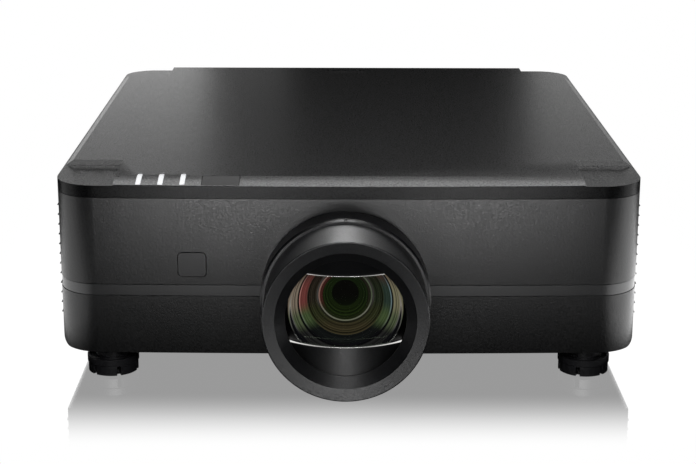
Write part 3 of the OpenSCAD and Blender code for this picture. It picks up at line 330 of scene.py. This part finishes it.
def crisp_group(angle):
    """Geometry nodes that weld a CAD mesh and shade it smooth except at its sharp edges."""
    group = bpy.data.node_groups.new("crisp", "GeometryNodeTree")
    group.interface.new_socket("Geometry", in_out="INPUT", socket_type="NodeSocketGeometry")
    group.interface.new_socket("Geometry", in_out="OUTPUT", socket_type="NodeSocketGeometry")
    add = group.nodes.new
    start, end = add("NodeGroupInput"), add("NodeGroupOutput")
    drop = add("GeometryNodeRemoveAttribute")
    drop.inputs["Name"].default_value = "custom_normal"
    weld = add("GeometryNodeMergeByDistance")
    weld.inputs["Distance"].default_value = 0.000002
    smooth, sharp = add("GeometryNodeSetShadeSmooth"), add("GeometryNodeSetShadeSmooth")
    smooth.domain, sharp.domain = "FACE", "EDGE"
    smooth.inputs["Shade Smooth"].default_value = True
    sharp.inputs["Shade Smooth"].default_value = False
    bend, over = add("GeometryNodeInputMeshEdgeAngle"), add("FunctionNodeCompare")
    over.operation = "GREATER_THAN"
    over.inputs[1].default_value = math.radians(angle)
    for out, into in (
            (start.outputs[0], drop.inputs["Geometry"]), (drop.outputs[0], weld.inputs["Geometry"]),
            (weld.outputs[0], smooth.inputs["Geometry"]), (smooth.outputs[0], sharp.inputs["Geometry"]),
            (sharp.outputs[0], end.inputs[0]), (bend.outputs["Unsigned Angle"], over.inputs[0]),
            (over.outputs[0], sharp.inputs["Selection"])):
        group.links.new(out, into)
    return group


CRISP = crisp_group(28)


def soften(obj, width):
    """Rounds a hard-edged mesh's edges by width metres."""
    bevel = obj.modifiers.new("edges", "BEVEL")
    bevel.width = width
    bevel.segments = 3
    bevel.limit_method = "ANGLE"
    bevel.angle_limit = math.radians(35)
    bevel.harden_normals = True


def finish_cad_nodes():
    slots = {s["node"]: s["material_slot"] for s in frame["record"]["subparts"]}
    for name, obj in nodes.items():
        obj.data.materials.clear()
        obj.data.materials.append(MATERIALS[slots[name]])
        obj.modifiers.new("crisp", "NODES").node_group = CRISP
        if name in BEVELS:
            soften(obj, BEVELS[name] * MM)


# ---------------------------------------------------------------- Mesh helpers

def new_piece(name, verts, faces, material, smooth=True):
    mesh = bpy.data.meshes.new(name)
    mesh.from_pydata(verts, [], faces)
    mesh.materials.append(material)
    for face in mesh.polygons:
        face.use_smooth = smooth
    obj = bpy.data.objects.new(name, mesh)
    bpy.context.scene.collection.objects.link(obj)
    return obj


def lens_point(across, up, out):
    """A point given from the lens axis and the front face, in millimetres."""
    return (LENS_X + across * MM, FRONT_Y - out * MM, LENS_Z + up * MM)


def lathe(name, profile, material, steps=192):
    """Turns (radius, out) pairs in millimetres about the lens axis."""
    verts, faces = [], []
    count = len(profile)
    for i in range(steps):
        angle = 2 * math.pi * i / steps
        for radius, out in profile:
            verts.append(lens_point(radius * math.sin(angle), radius * math.cos(angle), out))
    for i in range(steps):
        j = (i + 1) % steps
        for k in range(count - 1):
            faces.append((i * count + k, j * count + k, j * count + k + 1, i * count + k + 1))
    return new_piece(name, verts, faces, material)


def swept_tube(name, path, radii, material, sides=10):
    """A tube of changing radius along a path, closed at both ends."""
    verts, faces = [], []
    points = [Vector(p) for p in path]
    for i, point in enumerate(points):
        ahead = points[min(i + 1, len(points) - 1)] - points[max(i - 1, 0)]
        side = ahead.cross(Vector((0, 0, 1))).normalized()
        up = side.cross(ahead).normalized()
        for k in range(sides):
            angle = 2 * math.pi * k / sides
            verts.append(point + (side * math.cos(angle) + up * math.sin(angle)) * radii[i])
    for i in range(len(points) - 1):
        for k in range(sides):
            n = (k + 1) % sides
            faces.append((i * sides + k, i * sides + n, (i + 1) * sides + n, (i + 1) * sides + k))
    last = (len(points) - 1) * sides
    faces.append(tuple(reversed(range(sides))))
    faces.append(tuple(last + k for k in range(sides)))
    return new_piece(name, verts, faces, material)


# ---------------------------------------------------------------- Lens

# The front glass, in millimetres: its centre ahead of the front face, and its two curves
GLASS_CENTRE, GLASS_R, GLASS_INNER = -18, 74.5, 67
# How near its axis a turned profile comes
AXIS_R = 0.02
LENS_PIECES = ("front_element", "rim_", "cream_", "pink_", "olive_", "inner_")


def painted_lens_reflection(name, left, right, slant, low, high, stripes):
    """A lens rim that glows with painted reflections and painted shade: its colour, which is also its
    emission, turns with the place around the axis, in fine rings.
    """
    rings_per_metre = 900.0
    n = Nodes(name)
    offset = n.add("ShaderNodeVectorMath", operation="SUBTRACT")
    n.join(n.place(), offset.inputs[0])
    offset.inputs[1].default_value = (LENS_X, 0, LENS_Z)
    split = n.add("ShaderNodeSeparateXYZ")
    n.join(offset.outputs[0], split.inputs[0])

    def ramp(socket, start, end):
        node = n.add("ShaderNodeMapRange", interpolation_type="SMOOTHSTEP")
        node.inputs["From Min"].default_value = start * MM
        node.inputs["From Max"].default_value = end * MM
        n.join(socket, node.inputs["Value"])
        return node.outputs["Result"]

    def mix(factor, first, second):
        node = n.add("ShaderNodeMix", data_type="RGBA")
        node.inputs["B"].default_value = (*second, 1)
        n.join(first, node.inputs["A"])
        n.join(factor, node.inputs["Factor"])
        return node.outputs["Result"]

    # Painted reflections and painted shade: the colour turns from left to right and changes on the slant, at
    # the bottom and at the top
    colour = n.blend(ramp(split.outputs["X"], -12, 12), left, right)
    colour = mix(ramp(split.outputs["Z"], -1, -13), colour, slant)
    colour = mix(ramp(split.outputs["Z"], -15, -25), colour, low)
    colour = mix(ramp(split.outputs["Z"], 8, 26), colour, high)
    flat = n.add("ShaderNodeVectorMath", operation="MULTIPLY")
    n.join(offset.outputs[0], flat.inputs[0])
    flat.inputs[1].default_value = (1, 0, 1)
    radius = n.add("ShaderNodeVectorMath", operation="LENGTH")
    n.join(flat.outputs[0], radius.inputs[0])
    rings = n.add("ShaderNodeTexNoise", noise_dimensions="1D", Scale=rings_per_metre,
                  Detail=3.0, Roughness=0.6)
    n.join(radius.outputs["Value"], rings.inputs["W"])
    shade = n.add("ShaderNodeMix", data_type="RGBA", blend_type="MULTIPLY", clamp_result=False)
    shade.inputs["Factor"].default_value = 1.0
    n.join(colour, shade.inputs["A"])
    faint, strong = ((value,) * 3 for value in stripes)
    n.join(n.blend(n.spread(rings.outputs["Fac"], 0.0, 1.0), faint, strong), shade.inputs["B"])
    n.join(shade.outputs["Result"], n.shader.inputs["Base Color"])
    # The same colour glows: painted light, though the rim is no lamp
    n.join(shade.outputs["Result"], n.shader.inputs["Emission Color"])
    n.shader.inputs["Emission Strength"].default_value = 1.0
    n.shader.inputs["Roughness"].default_value = 0.4
    n.shader.inputs["Specular IOR Level"].default_value = 0.1
    return n.material


def on_sphere(radius, sphere_r):
    return GLASS_CENTRE + math.sqrt(sphere_r ** 2 - radius ** 2)


def trim_metal():
    """Polished metal edge of the mask that glows, more at its ends than its middle: a painted highlight where
    the edge catches the light.
    """
    trim = metal("mask_trim_painted_highlight", (0.55, 0.55, 0.54), (0.72, 0.72, 0.7), 0.22, 0.002)
    tree = trim.node_tree
    shader = tree.nodes["Principled BSDF"]
    place, split = tree.nodes.new("ShaderNodeTexCoord"), tree.nodes.new("ShaderNodeSeparateXYZ")
    aside = tree.nodes.new("ShaderNodeMath")
    aside.operation = "SUBTRACT"
    aside.inputs[1].default_value = LENS_X
    size = tree.nodes.new("ShaderNodeMath")
    size.operation = "ABSOLUTE"
    # Emission that rises towards the ends: a painted highlight
    glow = tree.nodes.new("ShaderNodeMapRange")
    glow.inputs["From Min"].default_value = 12 * MM
    glow.inputs["From Max"].default_value = 42 * MM
    glow.inputs["To Min"].default_value = 0.22
    glow.inputs["To Max"].default_value = 0.85
    for out, into in ((place.outputs["Object"], split.inputs[0]), (split.outputs["X"], aside.inputs[0]),
                      (aside.outputs[0], size.inputs[0]), (size.outputs[0], glow.inputs["Value"]),
                      (glow.outputs["Result"], shader.inputs["Emission Strength"])):
        tree.links.new(out, into)
    shader.inputs["Emission Color"].default_value = (0.93, 0.92, 0.9, 1)
    return trim


# Each ring seen in the lens, glowing with painted reflections: its profile as (radius, out) pairs in
# millimetres, its painted colour on the left, on the right, on the slant below them, at the bottom and at the
# top (near black where shade is painted), and how much its fine lines dim and brighten it
UNLIT = (0.004, 0.004, 0.005)
EVEN = (0.35, 1.35)
PAINTED_REFLECTION_RINGS = {
    "rim_mauve": (
        [(45.8, 31.2), (44.5, 31.0), (44.3, 30.2)],
        [(0.10, 0.085, 0.10), (0.10, 0.09, 0.10), (0.06, 0.055, 0.06), UNLIT, (0.02, 0.02, 0.02)], EVEN),
    "rim_dark": (
        [(44.3, 30.2), (42.6, 29.2)],
        [UNLIT] * 5, EVEN),
    "rim_silver": (
        [(42.6, 29.2), (42.1, 29.1), (41.9, 28.6)],
        [(0.24, 0.22, 0.19), (0.22, 0.20, 0.17), (0.10, 0.10, 0.09), UNLIT, (0.12, 0.11, 0.10)], EVEN),
    "cream_zone": (
        [(41.9, 28.6), (39.0, 25.8), (37.4, 23.8)],
        [(0.15, 0.12, 0.092), (0.135, 0.125, 0.078), (0.06, 0.075, 0.04), (0.012, 0.012, 0.012),
         (0.08, 0.06, 0.046)], (0.3, 1.5)),
    "cream_gap": (
        [(37.4, 23.8), (36.4, 22.4)],
        [UNLIT] * 5, EVEN),
    "pink_line": (
        [(36.4, 22.4), (36.0, 22.2), (35.6, 21.4)],
        [(0.34, 0.15, 0.13), (0.12, 0.17, 0.18), (0.10, 0.13, 0.08), UNLIT, (0.05, 0.03, 0.03)], EVEN),
    "pink_zone": (
        [(35.6, 21.4), (32.5, 17.6), (30.6, 15.2)],
        [(0.14, 0.040, 0.036), (0.022, 0.036, 0.028), (0.05, 0.075, 0.03), (0.006, 0.007, 0.007),
         (0.05, 0.022, 0.018)], (0.25, 1.3)),
    "olive_zone": (
        [(30.6, 15.2), (27.0, 11.2), (23.2, 8.0)],
        [(0.018, 0.014, 0.010), (0.014, 0.018, 0.010), (0.020, 0.022, 0.009), (0.030, 0.024, 0.012),
         (0.012, 0.006, 0.006)], (0.05, 1.6)),
    "inner_band": (
        [(23.2, 8.0), (21.6, 7.2)],
        [(0.05, 0.045, 0.042), (0.035, 0.032, 0.03), (0.014, 0.014, 0.008), (0.010, 0.009, 0.005),
         (0.03, 0.026, 0.026)], EVEN),
    "inner_rim": (
        [(21.6, 7.2), (21.3, 7.6), (20.9, 7.6), (20.6, 7.0)],
        [(0.20, 0.11, 0.09), (0.07, 0.085, 0.055), (0.14, 0.14, 0.11), (0.13, 0.14, 0.09),
         (0.04, 0.035, 0.035)], EVEN),
    "inner_pink": (
        [(20.6, 7.0), (18.2, 6.0)],
        [(0.05, 0.014, 0.012), (0.014, 0.012, 0.008), (0.010, 0.014, 0.004), (0.008, 0.012, 0.003),
         (0.004, 0.002, 0.002)], EVEN),
    "inner_green": (
        [(18.2, 6.0), (14.5, 3.0), (11.0, 0.0)],
        [(0.007, 0.013, 0.003), (0.006, 0.011, 0.003), (0.008, 0.014, 0.003), (0.007, 0.012, 0.003),
         (0.001, 0.001, 0.001)], (0.1, 1.5)),
    "inner_dark": (
        [(11.0, 0.0), (7.0, -2.0), (AXIS_R, -3.0)],
        [(0.0015, 0.001, 0.001), (0.0015, 0.001, 0.001), (0.002, 0.003, 0.001), (0.003, 0.005, 0.001),
         (0.0005, 0.0005, 0.0005)], EVEN),
}


def curved_face(sphere_r, edge, steps=24):
    """One curved face of the front glass as (radius, out) pairs, from its middle to its edge."""
    radii = [edge * i / steps for i in range(steps + 1)]
    return [(max(radius, AXIS_R), on_sphere(radius, sphere_r)) for radius in radii]


def make_front_glass():
    edge = 45.9
    profile = curved_face(GLASS_R, edge) + curved_face(GLASS_INNER, edge)[::-1]
    piece = lathe("front_element", profile, MATERIALS["front_glass"])
    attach(piece, "lens")
    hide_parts("front_glass")


def make_painted_reflection_rings():
    """The coated rims that show behind the front glass, glowing with painted reflections and painted shade.
    """
    for name, (profile, colours, stripes) in PAINTED_REFLECTION_RINGS.items():
        ring = lathe(name, profile, painted_lens_reflection(name, *colours, stripes))
        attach(ring, "lens")


def make_mask_edges():
    """Glowing trims along the mask's two inner edges, painted highlights which follow the glass and thicken
    at their ends.
    """
    trim = trim_metal()
    count, half_turn, mask_half = 48, 42.5, 30
    radius = math.sqrt((GLASS_R + 0.9) ** 2 - mask_half ** 2)
    trims = (("mask_edge_low", -29.5, 0.4, 0.9), ("mask_edge_high", 29.6, 0.25, 0.25))
    for name, height, thin, thick in trims:
        path, radii = [], []
        for i in range(count + 1):
            share = 2 * i / count - 1
            angle = math.radians(half_turn) * share
            out = GLASS_CENTRE + radius * math.cos(angle)
            path.append(lens_point(radius * math.sin(angle), height, out))
            radii.append((thin + (thick - thin) * abs(share) ** 8) * MM)
        piece = swept_tube(name, path, radii, trim)
        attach(piece, "lens")


# ---------------------------------------------------------------- Marks above the status lights

def mark(name, centre, outline, material):
    """A thin printed mark on the top cover, from a flat outline in millimetres."""
    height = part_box("top_cover")[1].z + 0.02 * MM
    verts = [(centre[0] + x * MM, centre[1] + y * MM, height) for x, y in outline]
    count = len(verts) // 2
    faces = [(i, i + 1, count + i + 1, count + i) for i in range(count - 1)]
    piece = new_piece(name, verts, faces, material, smooth=False)
    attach(piece, "root")


def arc_outline(radius, width, start, end, steps=24):
    """The inner and then the outer edge of an arc, angles in degrees."""
    angles = [math.radians(start + (end - start) * i / steps) for i in range(steps + 1)]
    edges = (radius - width / 2, radius + width / 2)
    return [(r * math.cos(a), r * math.sin(a)) for r in edges for a in angles]


def make_marks():
    """Generic signs: a ring with a stroke, an arch and a lamp-like drop, one above each light."""
    low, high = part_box("status_light_pipes")
    # The printed marks' white also glows a little: painted light, since print is no lamp
    white = glowing("mark_white_painted_glow", (0.8, 0.82, 0.84), 0.35)
    light_w = 3.8 * MM
    pitch = (high.x - low.x - light_w) / 2
    back = high.y + 3.2 * MM
    stroke = [(-0.2, -0.7), (-0.2, 0.7), (0.2, -0.7), (0.2, 0.7)]
    foot = [(-0.6, -0.2), (0.6, -0.2), (-0.6, 0.2), (0.6, 0.2)]
    for i in range(3):
        x = low.x + light_w / 2 + i * pitch
        if i == 0:
            mark("mark_power_ring", (x, back), arc_outline(1.25, 0.4, 125, 415), white)
            mark("mark_power_stroke", (x, back + 1.0 * MM), stroke, white)
        elif i == 1:
            mark("mark_arch", (x, back), arc_outline(1.6, 0.45, 20, 160), white)
            mark("mark_arch_dot", (x, back), arc_outline(0.3, 0.55, 0, 360), white)
        else:
            mark("mark_drop_ring", (x, back + 0.3 * MM), arc_outline(0.9, 0.45, -60, 240), white)
            mark("mark_drop_foot", (x, back - 0.9 * MM), foot, white)


# ---------------------------------------------------------------- Stage

def floor_material():
    """White all over, with a mirror-like pool under the case that fades out around it."""
    pool_middle, pool_half = (case_low.y + case_high.y) / 2, (case_high.y - case_low.y) / 2
    pool_side = case_high.x - 0.5 * MM
    mirror_share = 0.68
    floor_mat = bpy.data.materials.new("floor_white")
    floor_mat.use_nodes = True
    tree = floor_mat.node_tree
    tree.nodes.clear()
    add, link = tree.nodes.new, tree.links.new
    out, mix = add("ShaderNodeOutputMaterial"), add("ShaderNodeMixShader")
    glow, gloss = add("ShaderNodeEmission"), add("ShaderNodeBsdfGlossy")
    glow.inputs["Color"].default_value = (1, 1, 1, 1)
    glow.inputs["Strength"].default_value = 1.0
    gloss.inputs["Color"].default_value = (1, 1, 1, 1)
    gloss.inputs["Roughness"].default_value = 0.04
    place, split = add("ShaderNodeTexCoord"), add("ShaderNodeSeparateXYZ")
    link(place.outputs["Object"], split.inputs[0])

    def math_node(kind, a, b=None):
        node = add("ShaderNodeMath")
        node.operation = kind
        for i, value in enumerate((a, b)):
            if value is None:
                continue
            if isinstance(value, float):
                node.inputs[i].default_value = value
            else:
                link(value, node.inputs[i])
        return node.outputs[0]

    beside = math_node("SUBTRACT", math_node("ABSOLUTE", split.outputs["X"]), pool_side)
    along = math_node("ABSOLUTE", math_node("SUBTRACT", split.outputs["Y"], pool_middle))
    before = math_node("SUBTRACT", along, pool_half)
    away = add("ShaderNodeMapRange")
    away.interpolation_type = "SMOOTHSTEP"
    away.inputs["From Min"].default_value = 0.015
    away.inputs["From Max"].default_value = 0.13
    away.inputs["To Min"].default_value = mirror_share
    away.inputs["To Max"].default_value = 0.0
    link(math_node("MAXIMUM", beside, before), away.inputs["Value"])
    link(away.outputs["Result"], mix.inputs[0])
    link(glow.outputs[0], mix.inputs[1])
    link(gloss.outputs[0], mix.inputs[2])
    link(mix.outputs[0], out.inputs["Surface"])
    return floor_mat


def make_stage():
    """The floor, and a white dome that only the floor's mirror shows."""
    half, dome_r = 6.0, 9.0
    floor = new_piece("floor", [(-half, -half, 0), (half, -half, 0), (half, half, 0), (-half, half, 0)],
                      [(0, 1, 2, 3)], floor_material(), smooth=False)
    floor.visible_glossy = False
    floor.visible_diffuse = False
    floor.visible_transmission = False

    dome_mat = bpy.data.materials.new("dome_white")
    dome_mat.use_nodes = True
    tree = dome_mat.node_tree
    tree.nodes.clear()
    out, glow = tree.nodes.new("ShaderNodeOutputMaterial"), tree.nodes.new("ShaderNodeEmission")
    glow.inputs["Strength"].default_value = 1.08
    tree.links.new(glow.outputs[0], out.inputs["Surface"])
    mesh = bpy.data.meshes.new("dome")
    shape = bmesh.new()
    bmesh.ops.create_uvsphere(shape, u_segments=48, v_segments=24, radius=dome_r)
    bmesh.ops.reverse_faces(shape, faces=shape.faces)
    shape.to_mesh(mesh)
    shape.free()
    mesh.materials.append(dome_mat)
    dome = bpy.data.objects.new("dome", mesh)
    bpy.context.scene.collection.objects.link(dome)
    dome.visible_diffuse = False
    dome.visible_shadow = False
    dome.visible_transmission = False
    dome.light_linking.receiver_collection = linked("floor_only", [floor], "INCLUDE")


def linked(name, objects, state):
    """A collection that limits a light to some objects, or keeps it off them."""
    group = bpy.data.collections.new(name)
    for obj in objects:
        group.objects.link(obj)
    for entry in group.collection_objects:
        entry.light_linking.link_state = state
    return group


def make_light(name, place, target, size, radiance, only, soft=False):
    """A soft box whose surface has the given radiance; unless soft, it only shows as a reflection."""
    data = bpy.data.lights.new(name, "AREA")
    data.shape = "RECTANGLE"
    data.size, data.size_y = size
    data.energy = radiance * math.pi * size[0] * size[1]
    light = bpy.data.objects.new(name, data)
    light.location = place
    light.rotation_euler = (Vector(target) - Vector(place)).to_track_quat("-Z", "Y").to_euler()
    light.visible_camera = False
    light.visible_diffuse = soft
    light.light_linking.receiver_collection = only
    bpy.context.scene.collection.objects.link(light)


def make_lights():
    world = bpy.data.worlds.new("studio")
    world.use_nodes = True
    sky = world.node_tree.nodes["Background"]
    sky.inputs["Color"].default_value = (1, 1, 1, 1)
    sky.inputs["Strength"].default_value = 0.05
    bpy.context.scene.world = world
    middle = (0, 0, 0.1)
    floor = bpy.data.objects["floor"]
    inside = [o for o in bpy.data.objects if o.name.startswith(LENS_PIECES)]
    knobs = [obj for name, obj in nodes.items() if name.startswith("foot_")]
    solid = linked("all_but_floor", [floor], "EXCLUDE")
    outside = linked("all_but_glass", [floor] + inside, "EXCLUDE")
    hood = linked("hood_only", [nodes["lens_hood"], nodes["lens_base_ring"]], "INCLUDE")
    mask = linked("mask_only", [nodes["lens_mask"]], "INCLUDE")
    cover = linked("cover_only", [nodes["top_cover"]], "INCLUDE")
    feet = linked("feet_only", knobs, "INCLUDE")
    front_shells = [nodes[name] for name in ("top_cover", "front_bezel", "lower_case", "accent_band")]
    edges = linked("edges_only", front_shells, "INCLUDE")
    for name, side in (("front_card_left", -1), ("front_card_right", 1)):
        make_light(name, (0.185 * side, -1.2, 0.01), (0.185 * side, -1.2, 1.0), (0.2, 0.75), 23.0, outside)
    make_light("front_box", (0, -1.9, 0.3), middle, (0.7, 0.35), 3.0, outside, soft=True)
    make_light("rear_left_box", (-0.87, 1.7, 0.29), (-0.87, 0, 0.29), (1.2, 0.48), 1.6, solid)
    make_light("rear_left_feather", (-0.19, 1.7, 0.35), (-0.19, 0, 0.35), (0.16, 0.34), 0.25, solid)
    make_light("rear_right_box", (0.97, 1.7, 0.31), (0.97, 0, 0.31), (1.2, 0.52), 0.95, solid)
    make_light("top_back_box", (0, 1.3, 1.35), middle, (2.4, 0.35), 3.5, solid)
    make_light("overhead_box", (0, -0.35, 1.3), middle, (0.9, 0.5), 1.0, solid, soft=True)
    make_light("left_card", (-0.62, -0.17, 0.01), (-0.62, -0.17, 1.0), (0.64, 0.5), 1.6, outside)
    make_light("right_card", (0.62, -0.17, 0.01), (0.62, -0.17, 1.0), (0.64, 0.5), 3.0, outside)
    make_light("edge_strip", (0, -0.5, 1.15), (0, -0.22, 0.17), (1.5, 0.12), 26.0, edges)
    for name, side in (("riser_left", -1), ("riser_right", 1)):
        make_light(name, (0.36 * side, -0.72, 0.72), (0.22 * side, -0.15, 0.17), (0.4, 0.3), 3.5, cover)
    hood_top = (0, -0.27, 0.14)
    make_light("hood_top_box", (0, 0.9, 1.1), hood_top, (0.35, 0.3), 38.0, hood)
    make_light("hood_edge_strip", (0, -0.5, 1.15), hood_top, (0.35, 0.12), 30.0, hood)
    make_light("hood_low_box", (0, -1.7, 0.34), (0, -0.3, 0.08), (0.7, 0.3), 6.5, hood)
    make_light("hood_left_card", (-0.18, -0.62, 0.01), (-0.18, -0.62, 1.0), (0.24, 0.3), 1.2, hood)
    make_light("hood_right_card", (0.18, -0.62, 0.01), (0.18, -0.62, 1.0), (0.24, 0.3), 0.9, hood)
    make_light("mask_box", (0, -1.1, 0.8), (0, -0.27, 0.06), (0.22, 0.3), 12.0, mask)
    make_light("feet_box", (0, -1.2, 0.55), (0, -0.18, 0.01), (1.0, 0.3), 6.0, feet, soft=True)
    bpy.context.scene.view_settings.view_transform = "Standard"


make_camera()
finish_cad_nodes()
make_front_glass()
make_painted_reflection_rings()
make_mask_edges()
make_marks()
make_stage()
make_lights()
